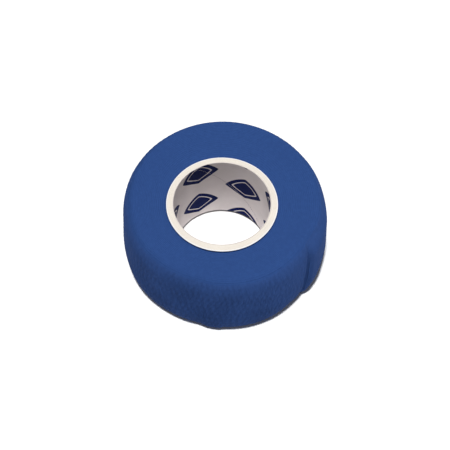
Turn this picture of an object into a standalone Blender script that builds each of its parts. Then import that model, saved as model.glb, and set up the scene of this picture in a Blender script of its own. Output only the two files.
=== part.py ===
"""Cohesive bandage roll: a 25.4 mm strip of crinkled self-adherent cloth wound on a paperboard tube.

The roll stands on its flat end, with the tube's axis upright. Its outline is eccentric to the tube,
its rim is rounded by the layers' drawn-in edges, and the last stretch of the strip has come loose.
"""

import bpy
import bmesh
import math

MM = 0.001

# Driving dimensions, in millimetres and degrees. Azimuth 0 is +X, and 90 is +Y.
TAPE_WIDTH = 25.4
TUBE_OUTER_RADIUS = 15.8
TUBE_INNER_RADIUS = 14.7
TUBE_HEIGHT = 26.4
TUBE_LIP_ROUND = 0.25
LINER_OUTER_RADIUS = 14.4
LINER_INNER_RADIUS = 14.0
LINER_BOTTOM = 0.3
LINER_TOP = 26.25
CLEARANCE = 0.3

# The roll's half-height outline about the tube's axis: one row every 30 degrees.
# Columns: azimuth, radius.
ROLL_OUTLINE = (
    (0, 30.4),
    (30, 31.3),
    (60, 32.1),
    (90, 32.3),
    (120, 31.5),
    (150, 30.2),
    (180, 28.8),
    (210, 28.2),
    (240, 27.6),
    (270, 27.9),
    (300, 28.6),
    (330, 28.8),
)
WALL_FLARE = 0.05          # how much the wall leans out for each millimetre down
SHOULDER_REACH = 3.4       # radial size of the rounded upper rim
SHOULDER_HEIGHT = 6.4
FOOT_REACH = 3.2           # radial size of the rounded lower rim
FOOT_HEIGHT = 9.0
SHOULDER_STEPS = 9
FOOT_STEPS = 8
COLUMN_STEP = 3.0          # degrees between the loft's sections
LEAST_COLUMN_STEP = 1.0    # an even section closer than this to a step's own section is left out
SHARP_ANGLE = 35.0

# The loose end runs from its tip anticlockwise to its root, where it joins the outer turn.
TIP_AZIMUTH = -37.0
LOOSE_SPAN = 66.0
LOOSE_THICKNESS = 1.2
TIP_THICKNESS = 0.45
TIP_THICKEN_SPAN = 5.0     # degrees over which the tip grows to its full thickness
TIP_LIFT = 0.25            # how far the tip stands out of the roll's outline
FOLD_LIFT = 1.3            # the same at the folded-back tab
FOLD_RISE_SPAN = 7.0       # degrees from the tip to the tab's crest
LIFT_DECAY_SPAN = 36.0     # degrees over which the strip settles back onto the roll
LOOSE_EDGE_ANGLE = 65.0    # how far round the rims the strip's two edges reach
TIP_LEAD_SPAN = 5.0        # degrees of the roll that dip in front of the tip
LEAST_DIP = 0.6            # how far the roll dips under the tab's crest
ROOT_GAP_SPAN = 0.6        # degrees, the clearance between the root and the outer turn
ROOT_STEP_SPAN = 0.3
NEST_REACH = 0.3           # how the rims soften for each millimetre that the roll dips
NEST_HEIGHT = 1.1

TURNED_STEPS = 96


def outline_radius(azimuth):
    """The half-height radius at an azimuth: a closed Catmull-Rom curve through ROLL_OUTLINE."""
    spacing = 360.0 / len(ROLL_OUTLINE)
    place = (azimuth % 360.0) / spacing
    row = int(place)
    t = place - row
    before, here, after, beyond = (
        ROLL_OUTLINE[(row + shift) % len(ROLL_OUTLINE)][1] for shift in (-1, 0, 1, 2)
    )
    slope_here = (after - before) / 2
    slope_after = (beyond - here) / 2
    return (
        here * (2 * t**3 - 3 * t**2 + 1)
        + slope_here * (t**3 - 2 * t**2 + t)
        + after * (3 * t**2 - 2 * t**3)
        + slope_after * (t**3 - t**2)
    )


def loose_lift(along):
    """How far the loose end's outside stands out of the outline, this many degrees from its tip."""
    rise = math.sin(math.radians(90) * min(along / FOLD_RISE_SPAN, 1.0))
    settle = math.exp(-((along / LIFT_DECAY_SPAN) ** 2))
    return (TIP_LIFT + (FOLD_LIFT - TIP_LIFT) * rise) * settle


def loose_thickness(along):
    grown = min(along / TIP_THICKEN_SPAN, 1.0)
    return TIP_THICKNESS + (LOOSE_THICKNESS - TIP_THICKNESS) * grown


def roll_dip(azimuth):
    """How far the roll's outline steps in, so that the loose end lies over it with a clearance."""
    along = (azimuth - TIP_AZIMUTH + 180.0) % 360.0 - 180.0
    if along < -TIP_LEAD_SPAN or along >= LOOSE_SPAN + ROOT_GAP_SPAN + ROOT_STEP_SPAN:
        return 0.0
    under = min(max(along, 0.0), LOOSE_SPAN)
    dip = max(loose_thickness(under) + CLEARANCE - loose_lift(under), LEAST_DIP)
    if along < 0:
        lead = 1.0 + along / TIP_LEAD_SPAN
        return dip * lead * lead * (3 - 2 * lead)
    return dip


def rim_points(radius, reach, height, middle_z, angles, inset):
    """(r, z) round an elliptical rim whose middle is at middle_z, with the wall's flare added."""
    points = []
    for angle in angles:
        turned = math.radians(angle)
        z = middle_z + (height - inset) * math.sin(turned)
        r = radius - reach + (reach - inset) * math.cos(turned)
        points.append((r + WALL_FLARE * (TAPE_WIDTH / 2 - z), z))
    return points


def side_points(radius, dip, inset, edge_angle):
    """The roll's side from the lower rim's end to the upper rim's, with both ends at edge_angle."""
    foot_angles = [-edge_angle * (1 - step / FOOT_STEPS) for step in range(FOOT_STEPS + 1)]
    foot_height = FOOT_HEIGHT + NEST_HEIGHT * dip
    foot_reach = FOOT_REACH + NEST_REACH * dip
    foot = rim_points(radius, foot_reach, foot_height, foot_height, foot_angles, inset)
    rim_angles = [edge_angle * step / SHOULDER_STEPS for step in range(SHOULDER_STEPS + 1)]
    rim_height = SHOULDER_HEIGHT + NEST_HEIGHT * dip
    rim_reach = SHOULDER_REACH + NEST_REACH * dip
    rim_middle = TAPE_WIDTH - rim_height
    return foot + rim_points(radius, rim_reach, rim_height, rim_middle, rim_angles, inset)


def roll_section(azimuth):
    """The wound tape's closed section at an azimuth, from the bore's foot outwards and up."""
    dip = roll_dip(azimuth)
    side = side_points(outline_radius(azimuth) - dip, dip, 0.0, 90.0)
    bore = TUBE_OUTER_RADIUS + CLEARANCE
    face_middle = (bore + side[-1][0]) / 2
    return [(bore, 0.0)] + side + [(face_middle, TAPE_WIDTH), (bore, TAPE_WIDTH)]


def loose_section(azimuth):
    """The loose end's closed section: up its outside, then down its inside."""
    along = azimuth - TIP_AZIMUTH
    radius = outline_radius(azimuth) + loose_lift(along)
    outside = side_points(radius, 0.0, 0.0, LOOSE_EDGE_ANGLE)
    inside = side_points(radius, 0.0, loose_thickness(along), LOOSE_EDGE_ANGLE)
    return outside + inside[::-1]


def roll_azimuths():
    """The loft's azimuths: even ones, and closer ones where the roll steps in."""
    root = TIP_AZIMUTH + LOOSE_SPAN
    steps_in = [TIP_AZIMUTH + shift for shift in (-TIP_LEAD_SPAN, -2.5, 0.0, 2.5, FOLD_RISE_SPAN)]
    steps_in += [root + ROOT_GAP_SPAN, root + ROOT_GAP_SPAN + ROOT_STEP_SPAN]
    even = [COLUMN_STEP * step - 180.0 for step in range(int(360 / COLUMN_STEP))]
    clear = [a for a in even if all(abs(a - b) > LEAST_COLUMN_STEP for b in steps_in)]
    return sorted(clear + steps_in)


def loose_azimuths():
    near_tip = [0.0, 1.0, 2.5, 4.0, TIP_THICKEN_SPAN, FOLD_RISE_SPAN]
    even_from = 3 * COLUMN_STEP
    even_count = int((LOOSE_SPAN - even_from) / COLUMN_STEP) + 1
    rest = [even_from + COLUMN_STEP * step for step in range(even_count)]
    return [TIP_AZIMUTH + along for along in near_tip + rest]


def make_material(name, color, roughness):
    material = bpy.data.materials.new(name)
    material.use_nodes = True
    shader = material.node_tree.nodes["Principled BSDF"]
    shader.inputs["Base Color"].default_value = (*color, 1.0)
    shader.inputs["Roughness"].default_value = roughness
    shader.inputs["Metallic"].default_value = 0.0
    return material


def add_object(name, mesh, material, collection, parent):
    obj = bpy.data.objects.new(name, mesh)
    mesh.materials.append(material)
    mesh.shade_smooth()
    mesh.set_sharp_from_angle(angle=math.radians(SHARP_ANGLE))
    collection.objects.link(obj)
    obj.parent = parent
    return obj


def loft(name, azimuths, section, closed):
    """A mesh through one (r, z) section at each azimuth. An open loft is capped across its thickness."""
    bm = bmesh.new()
    rings = []
    for azimuth in azimuths:
        turned = math.radians(azimuth)
        ring = [
            bm.verts.new((r * MM * math.cos(turned), r * MM * math.sin(turned), z * MM))
            for r, z in section(azimuth)
        ]
        rings.append(ring)
    pairs = list(zip(rings, rings[1:]))
    if closed:
        pairs.append((rings[-1], rings[0]))
    size = len(rings[0])
    for first, second in pairs:
        for i in range(size):
            j = (i + 1) % size
            bm.faces.new((first[i], second[i], second[j], first[j]))
    if not closed:
        for ring, facing_back in ((rings[0], True), (rings[-1], False)):
            for i in range(size // 2 - 1):
                quad = (ring[i], ring[i + 1], ring[size - 2 - i], ring[size - 1 - i])
                bm.faces.new(quad if facing_back else quad[::-1])
    bmesh.ops.recalc_face_normals(bm, faces=bm.faces)
    mesh = bpy.data.meshes.new(name)
    bm.to_mesh(mesh)
    bm.free()
    return mesh


def turned_ring(name, profile, material, collection, parent):
    """A Screw modifier turns a closed (r, z) profile that runs down its outer side."""
    count = len(profile)
    mesh = bpy.data.meshes.new(name)
    mesh.from_pydata(
        [(r * MM, 0.0, z * MM) for r, z in profile],
        [(i, (i + 1) % count) for i in range(count)],
        [],
    )
    obj = bpy.data.objects.new(name, mesh)
    mesh.materials.append(material)
    collection.objects.link(obj)
    obj.parent = parent
    screw = obj.modifiers.new("turn", "SCREW")
    screw.axis = "Z"
    screw.angle = math.radians(360)
    screw.steps = TURNED_STEPS
    screw.render_steps = TURNED_STEPS
    screw.use_merge_vertices = True
    screw.merge_threshold = 0.00001
    screw.use_smooth_shade = True
    return obj


def tube_profile():
    """The paperboard tube's wall, with its four edges a little rounded by the cut."""
    half = math.sqrt(0.5)
    near = TUBE_LIP_ROUND * (1 - half)
    outer, inner, top = TUBE_OUTER_RADIUS, TUBE_INNER_RADIUS, TUBE_HEIGHT
    lip = TUBE_LIP_ROUND
    return [
        (outer - lip, top),
        (outer - near, top - near),
        (outer, top - lip),
        (outer, lip),
        (outer - near, near),
        (outer - lip, 0.0),
        (inner + lip, 0.0),
        (inner + near, near),
        (inner, lip),
        (inner, top - lip),
        (inner + near, top - near),
        (inner + lip, top),
    ]


def liner_profile():
    return [
        (LINER_OUTER_RADIUS, LINER_TOP),
        (LINER_OUTER_RADIUS, LINER_BOTTOM),
        (LINER_INNER_RADIUS, LINER_BOTTOM),
        (LINER_INNER_RADIUS, LINER_TOP),
    ]


def outline_centre():
    """The middle of the roll's box in plan, from the loft's own sections."""
    reach = [(azimuth, roll_section(azimuth)) for azimuth in roll_azimuths()]
    reach += [(azimuth, loose_section(azimuth)) for azimuth in loose_azimuths()]
    xs = [r * math.cos(math.radians(a)) for a, section in reach for r, z in section]
    ys = [r * math.sin(math.radians(a)) for a, section in reach for r, z in section]
    return (min(xs) + max(xs)) / 2, (min(ys) + max(ys)) / 2


def main():
    for obj in list(bpy.data.objects):
        bpy.data.objects.remove(obj, do_unlink=True)
    collection = bpy.data.collections.new("cohesive_bandage_roll")
    bpy.context.scene.collection.children.link(collection)

    blue_cloth = make_material("blue_cloth", (0.031, 0.078, 0.242), 0.9)
    paperboard = make_material("paperboard", (0.88, 0.83, 0.74), 0.85)
    liner_paper = make_material("liner_paper", (0.80, 0.79, 0.80), 0.6)

    tube_axis = bpy.data.objects.new("tube_axis", None)
    collection.objects.link(tube_axis)
    middle_x, middle_y = outline_centre()
    tube_axis.location = (-middle_x * MM, -middle_y * MM, 0.0)

    wound = loft("wound_tape", roll_azimuths(), roll_section, closed=True)
    add_object("wound_tape", wound, blue_cloth, collection, tube_axis)
    loose = loft("loose_end", loose_azimuths(), loose_section, closed=False)
    add_object("loose_end", loose, blue_cloth, collection, tube_axis)
    turned_ring("core_tube", tube_profile(), paperboard, collection, tube_axis)
    turned_ring("core_liner", liner_profile(), liner_paper, collection, tube_axis)


main()
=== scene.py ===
"""Looks of the cohesive bandage roll: every turn of the strip, its crinkle, the loose end, the tube and its liner.

Shapes are worked out in millimetres about the tube's axis, with azimuth 0 at +X and 90 at +Y, and are
placed on the axis of the CAD tube. Heights are over the floor. The sizes repeat those of the CAD source where
this is said.
"""

import math

import bpy
import numpy as np
from mathutils import Matrix, Vector


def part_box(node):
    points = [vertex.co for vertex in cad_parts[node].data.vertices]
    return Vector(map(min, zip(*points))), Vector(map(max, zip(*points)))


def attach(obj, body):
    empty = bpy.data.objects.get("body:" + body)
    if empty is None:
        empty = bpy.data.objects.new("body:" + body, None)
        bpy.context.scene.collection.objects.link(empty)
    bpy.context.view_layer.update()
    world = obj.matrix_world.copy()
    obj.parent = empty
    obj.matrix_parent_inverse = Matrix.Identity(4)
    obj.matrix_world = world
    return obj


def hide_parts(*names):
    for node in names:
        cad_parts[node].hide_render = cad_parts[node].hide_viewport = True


MM = 0.001

# ---- sizes shared with the CAD source, in millimetres and degrees
TAPE_WIDTH = 25.4
TUBE_HEIGHT = 26.4
# Columns: azimuth, radius at half height.
ROLL_OUTLINE = (
    (0, 30.4),
    (30, 31.3),
    (60, 32.1),
    (90, 32.3),
    (120, 31.5),
    (150, 30.2),
    (180, 28.8),
    (210, 28.2),
    (240, 27.6),
    (270, 27.9),
    (300, 28.6),
    (330, 28.8),
)
WALL_FLARE = 0.05             # how far the wall leans out for each millimetre down
SHOULDER_REACH, SHOULDER_HEIGHT = 3.4, 6.4   # the ellipse that rounds the upper rim
FOOT_REACH, FOOT_HEIGHT = 3.2, 9.0           # and the lower one

# ---- the winding
TURNS = 24
WRAP_RADIUS = 15.8            # the innermost turn's inner side
FILL = 0.965                  # share of each turn's room that its cloth takes
EDGE_REACH = 1.3              # how far inward the outer turn's two edges are drawn
EDGE_BEVEL = 0.90             # how far a turn's edges follow the roll's rounding, from 0, square, to 1
EDGE_LOOKUP = 0.5             # how far from its edges the strip's depth in the roll is taken for them
CORE_RISE = 0.35              # how much higher the turns next to the tube stand
CORE_RISE_FROM, CORE_RISE_TO = 6.0, 14.0   # depths between which they come to stand higher
DRAW_DEPTH = 8.5              # this far under the outside the turns stand straight
ROUND_TURNS = 5.0             # turns over which the outer turns' even outline becomes a plain spiral
STEP_FROM, STEP_TO = -44.0, -34.4   # azimuths between which a turn goes under the loose end
PRESSED_TURNS = 10.0          # turns over which the plain spiral becomes round again, pressed on the tube
PRESSED_LAP = 0.04            # turns in which a pressed turn climbs over the one under it
BULGE_FROM = 0.6              # share of the winding's depth that stays out of the loose end's bulge
OUTER_END = 1.2               # turns from the tip at which the outer piece ends and the inner one begins
ROW_CROWDING = 0.55           # how much closer together the rows of a mesh stand at the strip's edges
INNER_UNEVEN = 0.007          # how uneven the inner turns' cut edges are
OUTER_UNEVEN = 0.01           # and the outermost turn's, which are even again before the outer piece ends

# ---- the loose end, which leaves the winding where the CAD source's does and has its tip 3 degrees further on
TIP_AZIMUTH = -33.8
LOOSE_SPAN = 62.8
ROOT_SPAN = 18.0              # degrees before its root over which it settles into the winding
CLOTH = 0.46
UNDER_GAP = 0.02              # between the loose end and the turn under it
CARRY_FROM, CARRY_TO = -0.5, 2.5   # degrees from the tip between which that turn comes to carry it
TAB_SPAN = 15.0               # degrees of strip folded back under the tab
TAB_GAP = 0.05
TAB_END_FROM, TAB_END_TO = 14.0, 18.0   # degrees from the tip between which the folded layer's room closes
FOLD_REACH = 4.3              # degrees from the fold's nose to where its two layers lie flat
NOSE_CLOTH = 1.0              # degrees that the cloth takes up in the nose
NOSE_DROP, NOSE_HOLLOW = 1.33, 0.62   # depths of the nose and of the hollow behind it under the outside
NOSE_POWER = 1.28             # 2 makes the nose a round, and less than 2 a ramp
TIP_SLANT = 6.4               # degrees that the tip's edge leans anticlockwise at most
SLANT_FROM, SLANT_RISE = 3.0, 10.5   # the height at which it stands at TIP_AZIMUTH, and how slowly it leans above
SLANT_SPAN = 48.0             # degrees of the loose end over which the lean fades out
# The loose end's outside over the roll's outline. Columns: degrees from the tip, millimetres.
LOOSE_LIFT = (
    (0, 1.05),
    (4, 1.08),
    (6, 1.12),
    (8, 1.17),
    (10, 1.20),
    (12, 1.20),
    (15, 1.10),
    (20, 0.88),
    (25, 0.70),
    (30, 0.58),
    (36, 0.46),
    (42, 0.34),
    (48, 0.22),
    (54, 0.12),
    (60, 0.03),
    (62.8, 0.0),
)
LIFT_BLUR = 1.5               # degrees to each side over which the table is averaged
CROWN_TOP, CROWN_DROP = 24.4, 5.2   # the lift grows from nothing at the first height over the second one down
CROWN_PINCH = 0.30            # the loose cloth's thickness at its upper edge, as a share of its usual one
DENT_DEPTH = 0.20             # the dent in the roll at the tip
DENT_PLACE, DENT_REACH = 0.3, 2.8   # degrees from the tip, and to each side

# ---- a small bump low on the near side, which ends sharply on its right
BUMP_HEIGHT = 0.34
BUMP_FROM, BUMP_FULL, BUMP_LAST, BUMP_TO = -103.0, -97.0, -90.5, -87.5
BUMP_FULL_HEIGHT, BUMP_TOP = 1.0, 9.0   # heights between which it fades out

# Small swells and flats of the whole roll. Columns: azimuth, reach in degrees, millimetres.
UNEVEN_PLACES = (
    (-112.0, 14.0, -0.24),
    (-103.0, 6.0, -0.25),
    (-4.0, 6.0, 0.20),
    (28.0, 14.0, 0.20),
)

# ---- the crinkle
RIDGE_PITCH = 1.75
RIDGE_HEIGHT = 0.21
RIDGE_MIDDLE = 0.62           # the share of a ridge's height that counts as the cloth's mean
THREAD_PITCH = 2.4
THREAD_PINCH = 0.30           # the share of the ridges' height that is missing at the elastic threads
BREAK_PITCH = 2.4             # how far apart the places are where the ridges fade
FINE_PITCH, FINE_SHARE = 0.75, 0.28
PATCH_PITCH = 9.0             # how far apart the patches of coarser and finer crinkle are
BROAD_PITCH, BROAD_HEIGHT = 16.0, 0.03   # the gentle swell under the ridges
# Where the crinkle is flatter, or deeper if the share is negative. Columns: degrees from the tip, reach in
# degrees, share of the height that is missing.
FLATTER_PLACES = (
    (226.0, 24.0, 0.50),
    (293.0, 20.0, -0.25),
)
CRINKLE_PAINTED_SHADING = 1.40            # how strongly the painted shade and light follow the crinkle
FOLD_PAINTED_SHADE = 0.50              # how much painted shade the fold's nose gets, on the same scale

# ---- the tube
TUBE_OUTER_RADIUS = 15.79     # a hair under the CAD source's, inside the innermost turn
TUBE_MIDDLE_RADIUS = 15.0     # past this one the wall belongs to the outside
TUBE_FOOT = 0.42              # its lower end stands this far off the table
TUBE_COLUMNS = 360
CUT_ROUNDING = 0.10           # of the cut faces' edges
PLY_GROOVE = 0.035            # how deep the lines between the plies are
WHITE_PLY = 0.24              # the thickness of the outer ply
FACE_UNEVEN, FACE_ROUGHNESS, WALL_UNEVEN = 0.012, 0.006, 0.004
LIP_SHIFT, LIP_WIDER = (0.22, -0.32), 0.16   # the axis of the flared upper end, and how much wider it is
LIP_DROP = 0.65               # how far down the flare goes

# ---- the bore and its liner
BORE_RADIUS = 13.97
BORE_SHIFT, BORE_TIGHTER = (0.17, -0.13), 0.06   # the bore's axis from the tube's, and how much narrower it is
LINER_THICKNESS = 0.12
LINER_UNEVEN = 0.006
LAP_HEIGHT, LAP_REACH = 0.10, 6.0   # how far the seam's outer edge stands in, and degrees in which it settles
TORN_DEPTH, TORN_DROP = 0.10, 1.2   # how far the seam's upper corners curl in, and how far down
SEAM_TOP_AZIMUTH = 124.0
SEAM_FALL = 0.262             # millimetres down for each degree clockwise
PRINT_LENGTH = 88.0           # of the print once round the bore
DIAMOND_STEP = PRINT_LENGTH / 6   # six columns
DIAMOND_RISE = 15.4
DIAMOND_WIDTH = 12.4
DIAMOND_HEIGHT = 9.6
DIAMOND_POWER = 1.22          # 1 gives straight sides, and more gives bulging ones

# ---- colours
CLOTH_BLUES = (0.0216, 0.0560, 0.1830), (0.0230, 0.0595, 0.1920)
CREPE_TONE = (1.06, 0.985, 0.97)   # what the crinkled side's colour is multiplied by
BOARD_CREAMS = (0.585, 0.540, 0.487), (0.635, 0.592, 0.532)
BOARD_PALE = (0.670, 0.630, 0.570)
BOARD_FLECK = (0.52, 0.42, 0.29)
BOARD_WHITES = (0.68, 0.68, 0.70), (0.73, 0.73, 0.75)
PAPER_WHITES = (0.75, 0.69, 0.68), (0.80, 0.74, 0.73)
PRINT_NAVIES = (0.001, 0.007, 0.070), (0.002, 0.009, 0.085)
# The painted shadow along the liner's foot, where it meets the table.
LINER_FOOT_PAINTED_SHADOW = (0.05, 0.05, 0.055)
FLOOR_GRAYS = (0.895, 0.895, 0.895), (0.905, 0.905, 0.905)
SOFTBOX_COLOR = (1.0, 0.998, 0.99)
WORLD_COLOR, WORLD_STRENGTH = (0.985, 0.99, 1.0, 1.0), 0.15

# ---- the camera, in millimetres about the tube's axis and degrees
CAMERA_PLACE = (1.154, -189.738, 318.060)
CAMERA_ELEVATION = 58.019
CAMERA_ROLL = 0.956
CAMERA_LENS, SENSOR_WIDTH = 97.614, 36.0

# ---- the floor and the lights, in metres
FLOOR_REACH, FLOOR_DROP = 3.0, 0.00005
LIGHT_DISTANCE = 0.85
SOFTBOX_SIZE = 0.40

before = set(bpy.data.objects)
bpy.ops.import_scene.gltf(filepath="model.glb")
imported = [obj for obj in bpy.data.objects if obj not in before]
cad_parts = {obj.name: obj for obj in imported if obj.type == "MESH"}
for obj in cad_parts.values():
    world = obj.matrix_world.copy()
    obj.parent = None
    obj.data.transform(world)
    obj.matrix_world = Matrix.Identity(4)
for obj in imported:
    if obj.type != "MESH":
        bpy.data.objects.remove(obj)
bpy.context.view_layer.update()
tube_low, tube_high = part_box("core_tube")
AXIS = np.array([(tube_low.x + tube_high.x) / 2, (tube_low.y + tube_high.y) / 2, 0.0]) / MM


# ---------------------------------------------------------------- numbers

def smooth(x):
    """Rises from 0 to 1 as x does, level at both ends."""
    x = np.clip(x, 0.0, 1.0)
    return x * x * (3.0 - 2.0 * x)


def eased(x, start, end, first=0.0, last=1.0):
    """Goes smoothly from the first to the last value as x goes from start to end."""
    return first + (last - first) * smooth((x - start) / (end - start))


def swell(x, middle, reach):
    """A bell of height 1."""
    return np.exp(-((x - middle) / reach) ** 2)


def waves(seed, x, y, count, pitch, spread, run):
    """Ridges across x about one pitch apart, which fork and fade along y within about a run."""
    rng = np.random.default_rng(seed)
    total = np.zeros(np.broadcast(x, y).shape)
    for _ in range(count):
        along = 2 * math.pi / pitch * (1 + spread * rng.normal())
        across = 2 * math.pi / run * rng.normal()
        total += np.cos(along * x + across * y + rng.uniform(0, 2 * math.pi))
    return total / math.sqrt(count / 2)


def outline_radius(azimuth):
    """The half-height radius: a closed Catmull-Rom curve through ROLL_OUTLINE."""
    radii = np.array([row[1] for row in ROLL_OUTLINE])
    count = len(radii)
    place = np.mod(azimuth, 360.0) / (360.0 / count)
    row = np.floor(place).astype(int)
    t = place - row
    before, here, after, beyond = (radii[(row + shift) % count] for shift in (-1, 0, 1, 2))
    slope_here, slope_after = (after - before) / 2, (beyond - here) / 2
    return (
        here * (2 * t**3 - 3 * t**2 + 1)
        + slope_here * (t**3 - 2 * t**2 + t)
        + after * (3 * t**2 - 2 * t**3)
        + slope_after * (t**3 - t**2)
    )


def rim_inset(rise, reach, height):
    """How far a rim's ellipse is drawn in at this rise above its middle, and straight on past the edge."""
    edge_rise = height * math.sqrt(1 - (1 - EDGE_REACH / reach) ** 2)
    edge_share = edge_rise / height
    edge_slope = reach / height * edge_share / math.sqrt(1 - edge_share**2)
    share = np.clip(rise, 0.0, edge_rise) / height
    return reach * (1 - np.sqrt(1 - share**2)) + edge_slope * np.maximum(rise - edge_rise, 0.0)


def rim_rise(inset, reach, height):
    """The rise of the rim's ellipse where it is drawn in this far. It is flat past the ellipse's end."""
    return height * np.sqrt(1 - np.clip(1 - inset / reach, 0.0, 1.0) ** 2)


def edge_draw(depth):
    """How far inward the edges of a turn that lies this deep are drawn."""
    return EDGE_REACH * np.clip(1 - depth / DRAW_DEPTH, 0.0, 1.0)


def edge_heights(depth):
    """The heights of the lower and upper edge of a turn that lies this deep in the roll."""
    inset = depth + edge_draw(depth)
    rise = CORE_RISE * eased(depth, CORE_RISE_FROM, CORE_RISE_TO)
    low = FOOT_HEIGHT - rim_rise(inset, FOOT_REACH, FOOT_HEIGHT)
    high = TAPE_WIDTH - SHOULDER_HEIGHT + rim_rise(inset, SHOULDER_REACH, SHOULDER_HEIGHT)
    return low + rise, high + rise


def crown(z):
    """The share of its full lift and thickness change that the loose end has at this height."""
    return smooth((CROWN_TOP - z) / CROWN_DROP)


def pinch(z):
    """The loose cloth's thickness at this height, as a share of its usual one."""
    return CROWN_PINCH + (1 - CROWN_PINCH) * crown(z)


def rooted(along):
    """How far the loose end has settled into the winding, from 0, loose, to 1 at its root."""
    return eased(along, LOOSE_SPAN - ROOT_SPAN, LOOSE_SPAN)


def lift_over(along, z):
    """The loose end's outside over the outline, this many degrees from its tip."""
    places, lifts = np.array(LOOSE_LIFT).T
    spread = np.linspace(-LIFT_BLUR, LIFT_BLUR, 7)
    lift = np.mean([np.interp(np.maximum(along, 0.0) + s, places, lifts) for s in spread], axis=0)
    return lift * crown(z)


def slant(z):
    """How many degrees the tip stands anticlockwise of TIP_AZIMUTH at this height."""
    return TIP_SLANT * np.tanh(np.clip(z - SLANT_FROM, 0.0, None) / SLANT_RISE)


def slanted(along, z):
    """Degrees from TIP_AZIMUTH of a point of the loose end, this many degrees from its slanted tip.

    This turns from_tip() round by repeated substitution.
    """
    lean = slant(z)
    place = along + lean
    for _ in range(12):
        place = along + lean * np.clip(1 - place / SLANT_SPAN, 0.0, 1.0) ** 2
    return place


def from_tip(azimuth, z):
    """Degrees from the slanted tip, from 120 clockwise of it to 240 anticlockwise."""
    place = np.mod(azimuth - TIP_AZIMUTH + 120.0, 360.0) - 120.0
    return place - slant(z) * np.clip(1 - np.maximum(place, 0.0) / SLANT_SPAN, 0.0, 1.0) ** 2


def bulge(azimuth, z):
    """How far the outer turns stand out over their place in the winding, to carry the loose end."""
    along = from_tip(azimuth, z)
    layers = CLOTH + (CLOTH + TAB_GAP) * eased(along, TAB_END_FROM, TAB_END_TO, 1.0, 0.0)
    cover = pinch(z) * layers + UNDER_GAP
    turn_room = (outline_radius(azimuth) - WRAP_RADIUS) / TURNS
    stepped = eased(along + TIP_AZIMUTH, STEP_FROM, STEP_TO)
    carried = (lift_over(along, z) - cover) * eased(along, CARRY_FROM, CARRY_TO)
    dent = DENT_DEPTH * swell(along, DENT_PLACE, DENT_REACH) * crown(z)
    return (turn_room * stepped + carried) * (1 - rooted(along)) - dent


def bump(azimuth, z):
    """How far the bump on the near side and the uneven places stand out."""
    place = np.mod(azimuth + 180.0, 360.0) - 180.0
    width = eased(place, BUMP_FROM, BUMP_FULL) * eased(place, BUMP_LAST, BUMP_TO, 1.0, 0.0)
    height = BUMP_HEIGHT * width * eased(z, BUMP_FULL_HEIGHT, BUMP_TOP, 1.0, 0.0)
    for middle, reach, rise in UNEVEN_PLACES:
        height = height + rise * swell(place, middle, reach)
    return height


def layer_of(turn, z):
    """How many layers deep the strip lies, this many turns from its tip."""
    wound = np.maximum(turn - LOOSE_SPAN / 360.0, 0.0)
    whole = np.floor(wound)
    part = wound - whole
    root = TIP_AZIMUTH + LOOSE_SPAN
    step_from = (STEP_FROM - root + 360.0) / 360.0
    step_to = (STEP_TO - root + 360.0) / 360.0
    step = eased(part - slant(z) / 360.0, step_from, step_to)
    even = np.clip(1 - wound / ROUND_TURNS, 0.0, 1.0)
    pressed = np.clip((wound - TURNS + 1 + PRESSED_TURNS) / PRESSED_TURNS, 0.0, 1.0)
    over_end = smooth(part / PRESSED_LAP)
    return whole + (1 - even - pressed) * part + even * step + pressed * over_end


def shell_radius(azimuth, layer, z, wound):
    """The radius of the surface that lies this many layers under the roll's outside.

    Wound is 1 for the cloth that carries the loose end, and 0 for the loose end itself.
    """
    room = outline_radius(azimuth) - WRAP_RADIUS
    outward = 1 - layer / TURNS
    depth = room * (1 - outward)
    low, high = edge_heights(depth)
    draw = edge_draw(depth)
    shoulder_middle = TAPE_WIDTH - SHOULDER_HEIGHT
    shoulder_edge = rim_inset(high - shoulder_middle, SHOULDER_REACH, SHOULDER_HEIGHT)
    foot_edge = rim_inset(FOOT_HEIGHT - low, FOOT_REACH, FOOT_HEIGHT)
    shoulder = rim_inset(z - shoulder_middle, SHOULDER_REACH, SHOULDER_HEIGHT)
    foot = rim_inset(FOOT_HEIGHT - z, FOOT_REACH, FOOT_HEIGHT)
    uneven = (wound * bulge(azimuth, z) + bump(azimuth, z)) * eased(outward, BULGE_FROM, 1.0)
    inset = draw * (shoulder / shoulder_edge + foot / foot_edge)
    flare = WALL_FLARE * outward * (TAPE_WIDTH / 2 - z)
    return WRAP_RADIUS + room * outward + uneven - inset + flare


# ---------------------------------------------------------------- meshes

def polar(azimuth, radius, z):
    """Points from azimuths in degrees, radii and heights."""
    turned, radius, z = np.broadcast_arrays(np.radians(azimuth), radius, z)
    return np.stack([radius * np.cos(turned), radius * np.sin(turned), z], axis=-1)


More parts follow.
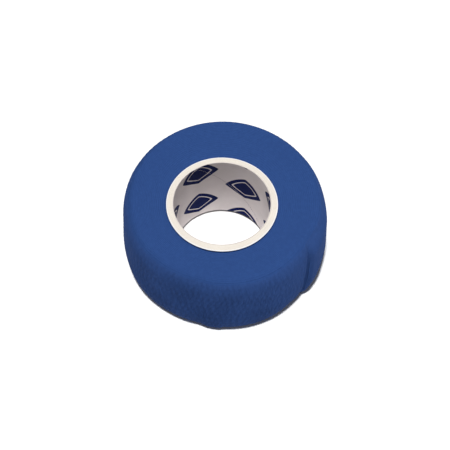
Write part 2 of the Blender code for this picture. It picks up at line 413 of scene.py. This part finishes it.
def grid_piece(name, rings, material, uv, open_ends=True, attributes=None):
    """A piece through closed rings of points, in millimetres about the tube's axis.

    With open ends its first and last ring are capped. Otherwise the last ring joins the first.
    """
    columns, rows = rings.shape[:2]
    last = columns - 1 if open_ends else columns
    i = np.arange(last)[:, None]
    j = np.arange(rows)[None, :]
    nxt = (i + 1) % columns
    quads = np.stack(
        [i * rows + j, nxt * rows + j, nxt * rows + (j + 1) % rows, i * rows + (j + 1) % rows],
        axis=-1,
    ).reshape(-1, 4)
    points = (rings.reshape(-1, 3) + AXIS) * MM
    a, b, c, d = (points[quads[:, k]] for k in range(4))
    volume = (a * np.cross(b, c)).sum() + (a * np.cross(c, d)).sum()
    faces = quads.tolist()
    if open_ends:
        faces.append(list(range(rows)))
        faces.append(list(range((columns - 1) * rows, columns * rows))[::-1])
    if volume < 0:
        faces = [face[::-1] for face in faces]
    mesh = bpy.data.meshes.new(name)
    mesh.from_pydata(points.tolist(), [], faces)
    layer = mesh.uv_layers.new(name="cloth_mm")
    loops = np.zeros(len(mesh.loops), np.int32)
    mesh.loops.foreach_get("vertex_index", loops)
    layer.data.foreach_set("uv", uv.reshape(-1, 2)[loops].astype(np.float32).ravel())
    for key, values in (attributes or {}).items():
        attribute = mesh.attributes.new(key, "FLOAT", "POINT")
        attribute.data.foreach_set("value", values.astype(np.float32).ravel())
    mesh.shade_smooth()
    mesh.materials.append(material)
    piece = bpy.data.objects.new(name, mesh)
    bpy.context.scene.collection.objects.link(piece)
    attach(piece, "root")
    return piece


def grid_normals(points):
    """Unit normals of a grid of points, all on the same side of it."""
    along = np.gradient(points, axis=0)
    across = np.gradient(points, axis=1)
    normal = np.cross(along, across)
    return normal / np.maximum(np.linalg.norm(normal, axis=-1, keepdims=True), 1e-9)


def profile_shares(count):
    """Shares of a strip's width from its lower to its upper edge, closer together near both."""
    s = np.linspace(0.0, 1.0, count)
    return s - ROW_CROWDING / (2 * math.pi) * np.sin(2 * math.pi * s)


def strip_rings(table, noise, outer_rows, inner_rows, round_edge, round_share):
    """Closed rings round a strip: up its outside, over its upper edge, down its inside, round its lower edge.

    The table has one row for each place along the strip: degrees from the tip and depth under the loose end's
    outside, of the outside and then of the inside, and 1 where the strip is wound or 0 where it is loose. The
    noise is added to the heights of the lower and upper edge. The edges' rounding is given by how far the sides
    end before the edge and by the share of the thickness at which the rows on the edge stand.
    """
    along_out, drop_out, along_in, drop_in, wound = (table[:, k : k + 1] for k in range(5))

    def layers(z, further=0.0):
        return np.where(wound > 0.5, layer_of(along_out / 360.0 + further, z), further * rooted(along_out))

    def points(share, z):
        along = along_out + (along_in - along_out) * share
        drop = (drop_out + (drop_in - drop_out) * share) * pinch(z) * (1 - rooted(along))
        azimuth = TIP_AZIMUTH + np.where(wound > 0.5, along, slanted(along, z))
        layer = layers(z) + FILL * share * (layers(z, 1.0) - layers(z))
        loose = (lift_over(along, z) - drop) * (1 - wound)
        return polar(azimuth, shell_radius(azimuth, layer, z, wound) + loose, z)

    room = outline_radius(TIP_AZIMUTH + along_out) - WRAP_RADIUS
    settled = np.minimum(layers(TAPE_WIDTH / 2), 1.0)

    def edges(share):
        under = EDGE_BEVEL * FILL * share * np.where(wound > 0.5, 1.0, rooted(along_out))
        low = edge_heights(room * (layers(EDGE_LOOKUP) + under) / TURNS)[0]
        high = edge_heights(room * (layers(TAPE_WIDTH - EDGE_LOOKUP) + under) / TURNS)[1]
        return np.maximum(low + noise[0][:, None] * settled, 0.0), high + noise[1][:, None] * settled

    def side(share, rows, back):
        low, high = edges(share)
        up = profile_shares(rows)[None, ::back]
        return points(share, low + round_edge + (high - low - 2 * round_edge) * up)

    outer = side(0.0, outer_rows, 1)
    inner = side(1.0, inner_rows, -1)
    near, far = round_share, 1 - round_share
    upper = np.concatenate([points(share, edges(share)[1]) for share in (near, far)], axis=1)
    lower = np.concatenate([points(share, edges(share)[0]) for share in (far, near)], axis=1)
    return outer, upper, inner, lower


def arc(points, axis):
    """The lengths along lines of points, from 0 at their first."""
    steps = np.linalg.norm(np.diff(points, axis=axis), axis=-1)
    zero = np.zeros_like(np.take(steps, [0], axis=axis))
    return np.concatenate([zero, np.cumsum(steps, axis=axis)], axis=axis)


def ring_uv(along, outer, upper, inner, lower):
    """Millimetres along and across the strip, the same on both of its sides."""
    middle = outer.shape[0] // 2
    past_edge = 0.1
    up = arc(outer[middle], 0)
    down = arc(inner[middle][::-1], 0)[::-1]
    over, under = np.full(upper.shape[1], up[-1] + past_edge), np.full(lower.shape[1], -past_edge)
    across = np.concatenate([up, over, down / down[0] * up[-1], under])
    return np.stack(np.broadcast_arrays(along[:, None], across[None, :]), axis=-1)


# ---------------------------------------------------------------- materials

class Nodes:
    """A material's node tree, with short calls for the nodes that this script uses."""

    def __init__(self, name):
        self.material = bpy.data.materials.new(name)
        self.material.use_nodes = True
        self.tree = self.material.node_tree
        self.shader = self.tree.nodes["Principled BSDF"]

    def add(self, kind, inputs=None, **settings):
        node = self.tree.nodes.new(kind)
        for key, value in settings.items():
            setattr(node, key, value)
        for key, value in (inputs or {}).items():
            self.put(node.inputs[key], value)
        return node

    def put(self, socket, value):
        """Links another node's output to a socket, or sets a plain value."""
        if isinstance(value, bpy.types.NodeSocket):
            self.tree.links.new(value, socket)
        else:
            socket.default_value = value

    def math(self, operation, *values):
        node = self.add("ShaderNodeMath", operation=operation)
        for socket, value in zip(node.inputs, values):
            self.put(socket, value)
        return node.outputs[0]

    def noise(self, vector, scale, detail, roughness):
        node = self.add(
            "ShaderNodeTexNoise",
            {"Vector": vector, "Scale": scale, "Detail": detail, "Roughness": roughness},
        )
        return node.outputs["Fac"]

    def ramp(self, value, low, high, to_low=0.0, to_high=1.0, interpolation="SMOOTHSTEP"):
        node = self.add(
            "ShaderNodeMapRange",
            {"Value": value, "From Min": low, "From Max": high, "To Min": to_low, "To Max": to_high},
            interpolation_type=interpolation,
        )
        return node.outputs["Result"]

    def mix(self, share, a, b, blend="MIX"):
        node = self.add("ShaderNodeMix", data_type="RGBA", blend_type=blend)
        self.put(node.inputs["Factor"], share)
        for name, value in (("A", a), ("B", b)):
            socket = next(s for s in node.inputs if s.name == name and s.type == "RGBA")
            self.put(socket, value if isinstance(value, bpy.types.NodeSocket) else (*value, 1.0))
        return next(s for s in node.outputs if s.type == "RGBA")

    def bump(self, height, distance, strength, normal=None):
        inputs = {"Height": height, "Distance": distance, "Strength": strength}
        if normal is not None:
            inputs["Normal"] = normal
        return self.add("ShaderNodeBump", inputs).outputs["Normal"]

    def finish(self, color, roughness, normal, **plain):
        """Sets the shader's inputs and returns the material."""
        self.put(self.shader.inputs["Base Color"], color)
        self.put(self.shader.inputs["Roughness"], roughness)
        self.put(self.shader.inputs["Normal"], normal)
        for key, value in plain.items():
            self.shader.inputs[key.replace("_", " ")].default_value = value
        return self.material


def blue_cloth():
    """Blue cloth. Its crinkled side has painted shade in its hollows and towards the table, and painted light on
    its crests and a little on its shoulder.
    """
    n = Nodes("blue_crinkled_cloth")
    place = n.add("ShaderNodeTexCoord").outputs["Object"]
    cloth = n.add("ShaderNodeUVMap", uv_map="cloth_mm").outputs["UV"]
    parts = n.add("ShaderNodeSeparateXYZ", {"Vector": cloth}).outputs
    fibre = n.noise(place, 5200.0, 3.0, 0.65)
    mottle = n.noise(place, 900.0, 2.0, 0.5)
    broad = n.noise(place, 90.0, 2.0, 0.5)
    thread = n.math("SINE", n.math("MULTIPLY", parts["Y"], 2 * math.pi / THREAD_PITCH))
    thread_line = n.ramp(thread, 0.90, 1.0)
    tone = n.math("ADD", n.ramp(fibre, 0.3, 0.7, 0.975, 1.02), n.ramp(mottle, 0.3, 0.7, -0.010, 0.010))
    tone = n.math("ADD", tone, n.ramp(broad, 0.3, 0.7, -0.01, 0.01))
    tone = n.math("SUBTRACT", tone, n.math("MULTIPLY", thread_line, 0.02))
    tint = n.mix(n.ramp(mottle, 0.35, 0.75), *CLOTH_BLUES)
    gray = n.add("ShaderNodeCombineXYZ", {"X": tone, "Y": tone, "Z": tone}).outputs["Vector"]
    color = n.mix(1.0, tint, gray, "MULTIPLY")
    crepe = n.add("ShaderNodeAttribute", attribute_name="crepe").outputs["Fac"]
    painted_crinkle_shading = n.add("ShaderNodeAttribute", attribute_name="painted_crinkle_shading").outputs["Fac"]
    color = n.mix(crepe, color, n.mix(1.0, color, CREPE_TONE, "MULTIPLY"))
    # Painted shade in the hollows, on the fold's nose and towards the table, and painted light on the crests and a
    # little on the shoulder.
    painted_shading = n.ramp(painted_crinkle_shading, -1.40, 0.85, 0.73, 1.20, "LINEAR")
    # Painted shade towards the table.
    painted_shading = n.math("MULTIPLY", painted_shading, n.ramp(parts["Y"], 0.0, 17.0, 0.84, 0.985))
    # Painted light on the shoulder.
    painted_shading = n.math("MULTIPLY", painted_shading, n.ramp(parts["Y"], 18.0, 22.5, 1.0, 1.06))
    shade = n.add("ShaderNodeCombineXYZ", {"X": painted_shading, "Y": painted_shading, "Z": painted_shading}).outputs["Vector"]
    color = n.mix(crepe, color, n.mix(1.0, color, shade, "MULTIPLY"))
    weave = n.bump(fibre, 0.00005, 0.5)
    soft = n.bump(mottle, 0.00006, 0.3, weave)
    return n.finish(color, n.ramp(fibre, 0.3, 0.7, 0.86, 0.96), soft, Specular_IOR_Level=0.03)


def paperboard():
    """Cream board with a few darker flecks, and white where it is the outer ply."""
    n = Nodes("cream_paperboard")
    place = n.add("ShaderNodeTexCoord").outputs["Object"]
    ply = n.add("ShaderNodeAttribute", attribute_name="ply").outputs["Fac"]
    fibre = n.noise(place, 3800.0, 4.0, 0.7)
    fleck = n.noise(place, 620.0, 2.0, 0.5)
    broad = n.noise(place, 160.0, 2.0, 0.5)
    cream = n.mix(n.ramp(fibre, 0.3, 0.7), *BOARD_CREAMS)
    cream = n.mix(n.ramp(broad, 0.4, 0.75, 0.0, 0.35), cream, BOARD_PALE)
    marked = n.mix(n.ramp(fleck, 0.72, 0.80, 0.0, 0.35), cream, BOARD_FLECK)
    white = n.mix(n.ramp(fibre, 0.3, 0.7), *BOARD_WHITES)
    color = n.mix(ply, marked, white)
    rough = n.bump(fibre, 0.00006, 0.55)
    return n.finish(color, n.ramp(fibre, 0.3, 0.7, 0.80, 0.95), rough, Specular_IOR_Level=0.25)


def liner_paper():
    """White paper printed with a plain lattice of navy diamonds, each with a thin pale line inside its edge, and a
    painted shadow along its foot.
    """
    n = Nodes("printed_liner_paper")
    place = n.add("ShaderNodeTexCoord").outputs["Object"]
    paper = n.add("ShaderNodeUVMap", uv_map="cloth_mm").outputs["UV"]
    parts = n.add("ShaderNodeSeparateXYZ", {"Vector": paper}).outputs
    across = n.math("DIVIDE", parts["X"], DIAMOND_STEP)
    column = n.math("FLOOR", across)
    odd = n.math("MODULO", column, 2.0)
    x = n.math("MULTIPLY", n.math("SUBTRACT", n.math("FRACT", across), 0.5), DIAMOND_STEP)
    shifted = n.math("ADD", n.math("DIVIDE", parts["Y"], DIAMOND_RISE), n.math("MULTIPLY", odd, 0.5))
    y = n.math("MULTIPLY", n.math("SUBTRACT", n.math("FRACT", shifted), 0.5), DIAMOND_RISE)
    reach = []
    for value, half in ((x, DIAMOND_WIDTH / 2), (y, DIAMOND_HEIGHT / 2)):
        share = n.math("DIVIDE", n.math("ABSOLUTE", value), half)
        reach.append(n.math("POWER", share, DIAMOND_POWER))
    far = n.math("ADD", reach[0], reach[1])
    ink = n.ramp(far, 1.0, 1.03, 1.0, 0.0)
    bare = n.math("MULTIPLY", n.ramp(far, 0.55, 0.57), n.ramp(far, 0.64, 0.66, 1.0, 0.0))
    ink = n.math("MULTIPLY", ink, n.math("SUBTRACT", 1.0, bare))
    printed = n.add("ShaderNodeAttribute", attribute_name="printed").outputs["Fac"]
    ink = n.math("MULTIPLY", ink, n.ramp(printed, 0.3, 0.7))
    fibre = n.noise(place, 3000.0, 3.0, 0.6)
    broad = n.noise(place, 220.0, 2.0, 0.5)
    white = n.mix(n.ramp(broad, 0.3, 0.7), *PAPER_WHITES)
    navy = n.mix(n.ramp(fibre, 0.35, 0.7), *PRINT_NAVIES)
    color = n.mix(ink, white, navy)
    foot = n.add("ShaderNodeAttribute", attribute_name="foot").outputs["Fac"]
    # Painted shadow along the liner's foot, where it meets the table.
    color = n.mix(n.math("MULTIPLY", foot, 0.9), color, LINER_FOOT_PAINTED_SHADOW)
    rough = n.bump(fibre, 0.00002, 0.4)
    return n.finish(color, n.ramp(fibre, 0.3, 0.7, 0.60, 0.72), rough, Specular_IOR_Level=0.04)


# ---------------------------------------------------------------- the strip

def edge_noise(seed, turn, size):
    """The unevenness of a strip's two cut edges along its length."""
    rng = np.random.default_rng(seed)
    count, slow, quick = 30, 0.3, 14.0
    edges = []
    for _ in range(2):
        total = np.zeros(len(turn))
        for _ in range(count):
            total += np.cos(2 * math.pi * turn * rng.uniform(slow, quick) + rng.uniform(0, 2 * math.pi))
        edges.append(size * total / math.sqrt(count / 2))
    return edges


def inner_turns(material):
    """All turns under the outermost one."""
    columns_per_turn = 128
    first = OUTER_END
    last = LOOSE_SPAN / 360.0 + TURNS - 1
    count = int(round((last - first) * columns_per_turn)) + 1
    turn = np.linspace(first, last, count)
    none = np.zeros(count)
    table = np.stack([360.0 * turn, none, 360.0 * turn, none, none + 1], axis=1)
    fade = eased(turn, first, first + 0.2)
    noise = [edge * fade for edge in edge_noise(3, turn, INNER_UNEVEN)]
    parts = strip_rings(table, noise, outer_rows=8, inner_rows=6, round_edge=0.03, round_share=0.12)
    along = arc(parts[0][:, 4], 0)
    rings = np.concatenate(parts, axis=1)
    piece = grid_piece("tape_turns", rings, material, ring_uv(along, *parts))
    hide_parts("wound_tape")
    return piece, float(along[-1])


def outer_table():
    """strip_rings' table for the outer strip, from the end folded under the tab to the last wound place."""
    rows = []
    tab = 2 * CLOTH + TAB_GAP
    for along in np.linspace(TAB_SPAN, FOLD_REACH, 24, endpoint=False):
        rows.append((along, tab, along, tab - CLOTH, 0))
    for angle in np.linspace(-90.0, 90.0, 25):
        back = math.cos(math.radians(angle)) ** (2 / NOSE_POWER)
        rise = abs(math.sin(math.radians(angle))) ** (2 / NOSE_POWER)
        outside = 0.0 if angle > 0 else tab
        inside = CLOTH if angle > 0 else tab - CLOTH
        rows.append(
            (
                FOLD_REACH * (1 - back),
                NOSE_DROP + (outside - NOSE_DROP) * rise,
                FOLD_REACH - (FOLD_REACH - NOSE_CLOTH) * back,
                NOSE_HOLLOW + (inside - NOSE_HOLLOW) * rise,
                0,
            )
        )
    step = 0.30
    for along in np.arange(FOLD_REACH + step, LOOSE_SPAN, step):
        rows.append((along, 0.0, along, CLOTH, 0))
    for along in np.append(np.arange(LOOSE_SPAN, 360.0 * OUTER_END, step), 360.0 * OUTER_END):
        rows.append((along, 0.0, along, 0.0, 1))
    return np.array(rows)


def outer_turn(material):
    """The outermost turn with its crinkle, and the loose end with its folded tab."""
    table = outer_table()
    turn = table[:, 0] / 360.0
    fade = eased(turn, 1.05, 1.15, 1.0, 0.0)
    noise = [edge * fade for edge in edge_noise(8, turn, OUTER_UNEVEN)]
    parts = strip_rings(table, noise, outer_rows=46, inner_rows=6, round_edge=0.08, round_share=0.25)
    outer = parts[0]
    middle = outer.shape[1] // 2
    along = arc(outer[:, middle], 0)
    profile = arc(outer[len(outer) // 2], 0)
    across = profile - profile[-1] / 2
    height = crinkle(along[:, None], across[None, :])
    degrees = turn[:, None] * 360.0
    # The table's first 49 rows are the folded layer and the nose.
    unfolded = eased(np.arange(len(table))[:, None], 30.0, 50.0)
    # The crinkle is flatter on the loose end, under it, at the strip's edges and on the shoulder.
    size = unfolded * eased(degrees, LOOSE_SPAN - 22.0, LOOSE_SPAN + 8.0, 0.22, 1.0)
    size = size * eased(degrees, 336.0, 358.0, 1.0, 0.6) * eased(turn[:, None], 1.03, 1.15, 1.0, 0.03)
    for middle_degrees, reach, flatter in FLATTER_PLACES:
        size = size * (1 - flatter * swell(degrees, middle_degrees, reach))
    share = profile_shares(outer.shape[1])[None, :]
    size = size * eased(np.minimum(share, 1 - share), 0.0, 0.08, 0.55, 1.0)
    size = size * eased(share, 0.66, 0.86, 1.0, 0.55)
    # Towards the table the shape alone is calmer, and the painted crinkle shading isn't.
    near_table = eased(share, 0.12, 0.37, 0.40, 1.0)
    # The normals' side is found at one place on the plain part of the turn.
    normal = grid_normals(outer)
    outward = np.sign((normal[-200, middle] * outer[-200, middle] * (1, 1, 0)).sum())
    parts = (outer + normal * outward * (height * size * near_table)[..., None], *parts[1:])
    rings = np.concatenate(parts, axis=1)
    crepe, painted_crinkle_shading = np.zeros(rings.shape[:2]), np.zeros(rings.shape[:2])
    crepe[:, : outer.shape[1]] = 1.0
    # Painted shade and light that follow the crinkle, and painted shade on the fold's nose.
    nose_painted_shade = unfolded * eased(degrees, 0.5 * FOLD_REACH, 1.5 * FOLD_REACH, 1.0, 0.0)
    painted_crinkle_shading[:, : outer.shape[1]] = CRINKLE_PAINTED_SHADING * height / RIDGE_HEIGHT * size - FOLD_PAINTED_SHADE * nose_painted_shade
    attributes = {"crepe": crepe, "painted_crinkle_shading": painted_crinkle_shading}
    piece = grid_piece("tape_outer", rings, material, ring_uv(along, *parts), True, attributes)
    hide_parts("wound_tape", "loose_end")
    return piece, float(along[-1])


def crinkle(x, y):
    """The crinkled cloth's height over its mean: ridges across the strip, pinched at its elastic threads."""
    ridges = waves(11, x, y, count=70, pitch=RIDGE_PITCH, spread=0.17, run=5.0)
    breaks = waves(15, y, x, count=50, pitch=BREAK_PITCH, spread=0.35, run=1.8)
    fine = waves(12, x, y, count=50, pitch=FINE_PITCH, spread=0.25, run=2.2)
    patches = waves(13, x, y, count=20, pitch=PATCH_PITCH, spread=0.5, run=9.0)
    broad = waves(14, x, y, count=16, pitch=BROAD_PITCH, spread=0.4, run=18.0)
    ridges = ridges * np.clip(0.55 + breaks, 0.0, 1.9)
    sharpness = 1.15 * np.clip(1.0 + 0.20 * patches, 0.35, 1.7)
    raised = 0.5 + 0.5 * np.tanh((ridges + FINE_SHARE * fine) * sharpness)
    pinched = 1 - THREAD_PINCH * (0.5 + 0.5 * np.cos(2 * math.pi * y / THREAD_PITCH)) ** 2
    return RIDGE_HEIGHT * (raised * pinched - RIDGE_MIDDLE) + BROAD_HEIGHT * broad


# ---------------------------------------------------------------- the tube and its liner

def shifted(azimuth, shift, wider):
    """How far a round surface stands out when its axis is shifted and it is this much wider."""
    turned = np.radians(azimuth)
    return shift[0] * np.cos(turned) + shift[1] * np.sin(turned) + wider


def core_tube(material):
    """The spiral-wound tube: cut faces with fine ply lines, and a white outer ply."""
    inner = BORE_RADIUS + LINER_THICKNESS
    outer = TUBE_OUTER_RADIUS
    azimuth = np.arange(TUBE_COLUMNS)[:, None] * 360.0 / TUBE_COLUMNS
    # Columns: radius, height over the cut face, share of white ply.
    face = [
        (inner, -0.55, 0.0),
        (inner, -CUT_ROUNDING, 0.0),
        (inner + 0.04, -0.02, 0.0),
        (inner + 0.22, 0.0, 0.0),
        (inner + 0.50, -0.005, 0.0),
        (inner + 0.54, -PLY_GROOVE, 0.0),
        (inner + 0.58, -0.005, 0.0),
        (inner + 0.85, 0.0, 0.0),
        (inner + 1.05, -0.005, 0.0),
        (inner + 1.09, -PLY_GROOVE, 0.0),
        (inner + 1.13, -0.005, 0.0),
        (outer - WHITE_PLY - 0.05, 0.0, 0.0),
        (outer - WHITE_PLY, -PLY_GROOVE, 0.0),
        (outer - WHITE_PLY + 0.03, -0.01, 1.0),
        (outer - 0.12, -0.01, 1.0),
        (outer - 0.04, -0.04, 1.0),
        (outer, -CUT_ROUNDING, 1.0),
        (outer, -0.22, 1.0),
        (outer, -0.38, 1.0),
        (outer, -0.55, 1.0),
        (outer, -0.66, 1.0),
        (outer, -1.2, 1.0),
    ]
    upper = [(r, TUBE_HEIGHT + h, ply) for r, h, ply in face]
    lower = [(r, TUBE_FOOT - h, ply) for r, h, ply in face[::-1]]
    radius, z, ply = np.array(upper + lower).T[:, None, :]
    uneven = np.zeros((TUBE_COLUMNS, 1))
    rng = np.random.default_rng(21)
    for cycles in rng.integers(2, 40, 24):
        uneven = uneven + np.cos(np.radians(azimuth) * cycles + rng.uniform(0, 2 * math.pi)) / cycles**0.5
    near_top = (z > TUBE_HEIGHT - 0.5).astype(float)
    rough = FACE_ROUGHNESS * rng.normal(size=(TUBE_COLUMNS, z.shape[1])) * near_top
    out = np.clip((radius - inner) / (outer - inner), 0.0, 1.0)
    lip = out * eased(z, TUBE_HEIGHT - LIP_DROP, TUBE_HEIGHT - CUT_ROUNDING)
    moved = (1 - out) * shifted(azimuth, BORE_SHIFT, -BORE_TIGHTER) + lip * shifted(azimuth, LIP_SHIFT, LIP_WIDER)
    z = np.minimum(z + FACE_UNEVEN * uneven * near_top + rough, TUBE_HEIGHT + 0.03)
    rings = polar(azimuth, radius + moved - WALL_UNEVEN * np.abs(uneven) * (radius > TUBE_MIDDLE_RADIUS), z)
    uv = np.stack(np.broadcast_arrays(np.radians(azimuth) * TUBE_MIDDLE_RADIUS, z), axis=-1)
    attributes = {"ply": np.broadcast_to(ply, z.shape)}
    piece = grid_piece("paperboard_tube", rings, material, uv, False, attributes)
    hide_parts("core_tube")
    return piece


def core_liner(material):
    """The innermost paper ply. Its mesh columns follow the slanted seam, where one edge laps the other."""
    # Degrees from the seam, crowded at it. The paper's edge stands in by the lap and settles back.
    near = np.array([0.0, 0.25, 0.5, 1.0, 2.0, 3.5, 5.5, 8.0])
    far = np.arange(11.0, 357.5, 2.6)
    away = np.concatenate([near, far, [358.5, 359.2, 359.7, 359.95]])
    inset = LAP_HEIGHT * np.exp(-(away / LAP_REACH)) * (away < 180)
    inset[0] = LAP_HEIGHT * 0.75
    foot_heights = [TUBE_FOOT + 0.02, TUBE_FOOT + 0.50]
    wall_heights = np.linspace(TUBE_FOOT + 0.60, TUBE_HEIGHT - 0.12, 32)
    heights = np.concatenate([foot_heights, wall_heights, [TUBE_HEIGHT - 0.04]])
    drop = TUBE_HEIGHT - heights
    azimuth = SEAM_TOP_AZIMUTH - drop[None, :] / SEAM_FALL + away[:, None]
    bore = BORE_RADIUS + shifted(azimuth, BORE_SHIFT, -BORE_TIGHTER)
    rng = np.random.default_rng(31)
    uneven = np.zeros_like(azimuth)
    for cycles in rng.integers(2, 18, 14):
        uneven += np.cos(np.radians(azimuth) * cycles + heights[None, :] * 0.15 + rng.uniform(0, 2 * math.pi))
    torn = swell(away, 1.5, 2.2) + swell(away, 357.0, 3.0)
    torn = TORN_DEPTH * torn[:, None] * eased(heights, TUBE_HEIGHT - TORN_DROP, TUBE_HEIGHT)[None, :]
    radius_in = bore - inset[:, None] - LINER_UNEVEN * np.abs(uneven) - torn
    inner = polar(azimuth, radius_in, heights[None, :])
    outer = polar(azimuth, bore + LINER_THICKNESS - 0.01, heights[None, :])[:, ::-1]
    rings = np.concatenate([inner, outer], axis=1)
    across = azimuth / 360.0 * PRINT_LENGTH + DIAMOND_STEP / 2
    uv_in = np.stack(np.broadcast_arrays(across, heights[None, :]), axis=-1)
    uv = np.concatenate([uv_in, uv_in[:, ::-1]], axis=1)
    printed, foot = np.zeros(rings.shape[:2]), np.zeros(rings.shape[:2])
    printed[:, : len(heights) - 1] = 1.0
    # The lowest two rows of the inside carry the painted shadow at the foot.
    foot[:, : len(foot_heights)] = 1.0
    attributes = {"printed": printed, "foot": foot}
    piece = grid_piece("liner_ply", rings, material, uv, False, attributes)
    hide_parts("core_liner")
    return piece


# ---------------------------------------------------------------- the stage

def make_camera():
    """The camera, with the place, tilt and lens that were fitted to the photo."""
    tilt, roll = math.radians(CAMERA_ELEVATION), math.radians(CAMERA_ROLL)
    across = Vector((1.0, 0.0, 0.0))
    up = Vector((0.0, math.sin(tilt), math.cos(tilt)))
    back = Vector((0.0, -math.cos(tilt), math.sin(tilt)))
    x = math.cos(roll) * across + math.sin(roll) * up
    y = -math.sin(roll) * across + math.cos(roll) * up
    data = bpy.data.cameras.new("camera")
    data.lens = CAMERA_LENS
    data.sensor_width = SENSOR_WIDTH
    data.clip_start, data.clip_end = 0.01, 10.0
    camera = bpy.data.objects.new("camera", data)
    turned = Matrix((x, y, back)).transposed().to_4x4()
    place = Vector((np.array(CAMERA_PLACE) + AXIS) * MM)
    camera.matrix_world = Matrix.Translation(place) @ turned
    bpy.context.scene.collection.objects.link(camera)
    bpy.context.scene.camera = camera


def make_floor():
    n = Nodes("pale_floor")
    place = n.add("ShaderNodeTexCoord").outputs["Object"]
    grain = n.noise(place, 400.0, 2.0, 0.5)
    color = n.mix(n.ramp(grain, 0.3, 0.7), *FLOOR_GRAYS)
    material = n.finish(color, 0.9, n.bump(grain, 0.00001, 0.2), Specular_IOR_Level=0.1)
    mesh = bpy.data.meshes.new("floor")
    corners = [(x * FLOOR_REACH, y * FLOOR_REACH, 0.0) for x, y in ((-1, -1), (1, -1), (1, 1), (-1, 1))]
    mesh.from_pydata(corners, [], [(0, 1, 2, 3)])
    mesh.materials.append(material)
    floor = bpy.data.objects.new("floor", mesh)
    floor.location.z = -FLOOR_DROP
    bpy.context.scene.collection.objects.link(floor)
    return floor


def light_group(name, objects):
    """A collection of objects that some lights are limited to."""
    group = bpy.data.collections.new(name)
    for lit in objects:
        group.objects.link(lit)
    return group


def add_light(data, azimuth, elevation, lit):
    """Aims a light at the roll from this direction. It lights only one group directly."""
    light = bpy.data.objects.new(data.name, data)
    turned, tilted = math.radians(azimuth), math.radians(elevation)
    away = Vector((math.cos(turned) * math.cos(tilted), math.sin(turned) * math.cos(tilted), math.sin(tilted)))
    light.location = away * LIGHT_DISTANCE
    light.rotation_mode = "QUATERNION"
    light.rotation_quaternion = away.to_track_quat("Z", "Y")
    light.light_linking.receiver_collection = lit
    bpy.context.scene.collection.objects.link(light)


def softbox(name, azimuth, elevation, watts, lit):
    data = bpy.data.lights.new(name, "AREA")
    data.shape = "DISK"
    data.size = SOFTBOX_SIZE
    data.energy = watts
    data.color = SOFTBOX_COLOR
    add_light(data, azimuth, elevation, lit)


def floor_light(name, azimuth, elevation, spread, strength, lit):
    """An even light from one side with slightly soft shadows, its spread in degrees."""
    data = bpy.data.lights.new(name, "SUN")
    data.angle = math.radians(spread)
    data.energy = strength
    add_light(data, azimuth, elevation, lit)


def make_lights(outside, inside, floor):
    on_roll = light_group("lit_roll", outside + inside)
    on_outside = light_group("lit_outside", outside)
    on_floor = light_group("lit_floor", [floor])
    softbox("top_softbox", azimuth=90.0, elevation=88.0, watts=5.1, lit=on_roll)
    softbox("left_softbox", azimuth=180.0, elevation=60.0, watts=2.1, lit=on_roll)
    softbox("right_softbox", azimuth=0.0, elevation=35.0, watts=1.4, lit=on_outside)
    softbox("near_softbox", azimuth=-45.0, elevation=50.0, watts=2.2, lit=on_outside)
    floor_light("floor_light", azimuth=-110.0, elevation=80.0, spread=6.0, strength=3.7, lit=on_floor)
    world = bpy.data.worlds.new("studio")
    world.use_nodes = True
    background = world.node_tree.nodes["Background"]
    background.inputs["Color"].default_value = WORLD_COLOR
    background.inputs["Strength"].default_value = WORLD_STRENGTH
    bpy.context.scene.world = world
    bpy.context.scene.view_settings.view_transform = "Standard"
    bpy.context.scene.view_settings.look = "None"


# ---------------------------------------------------------------- the whole

cloth = blue_cloth()
turns, turns_length = inner_turns(cloth)
outer, outer_length = outer_turn(cloth)
tube = core_tube(paperboard())
liner = core_liner(liner_paper())

make_camera()
make_lights([turns, outer, tube], [liner], make_floor())
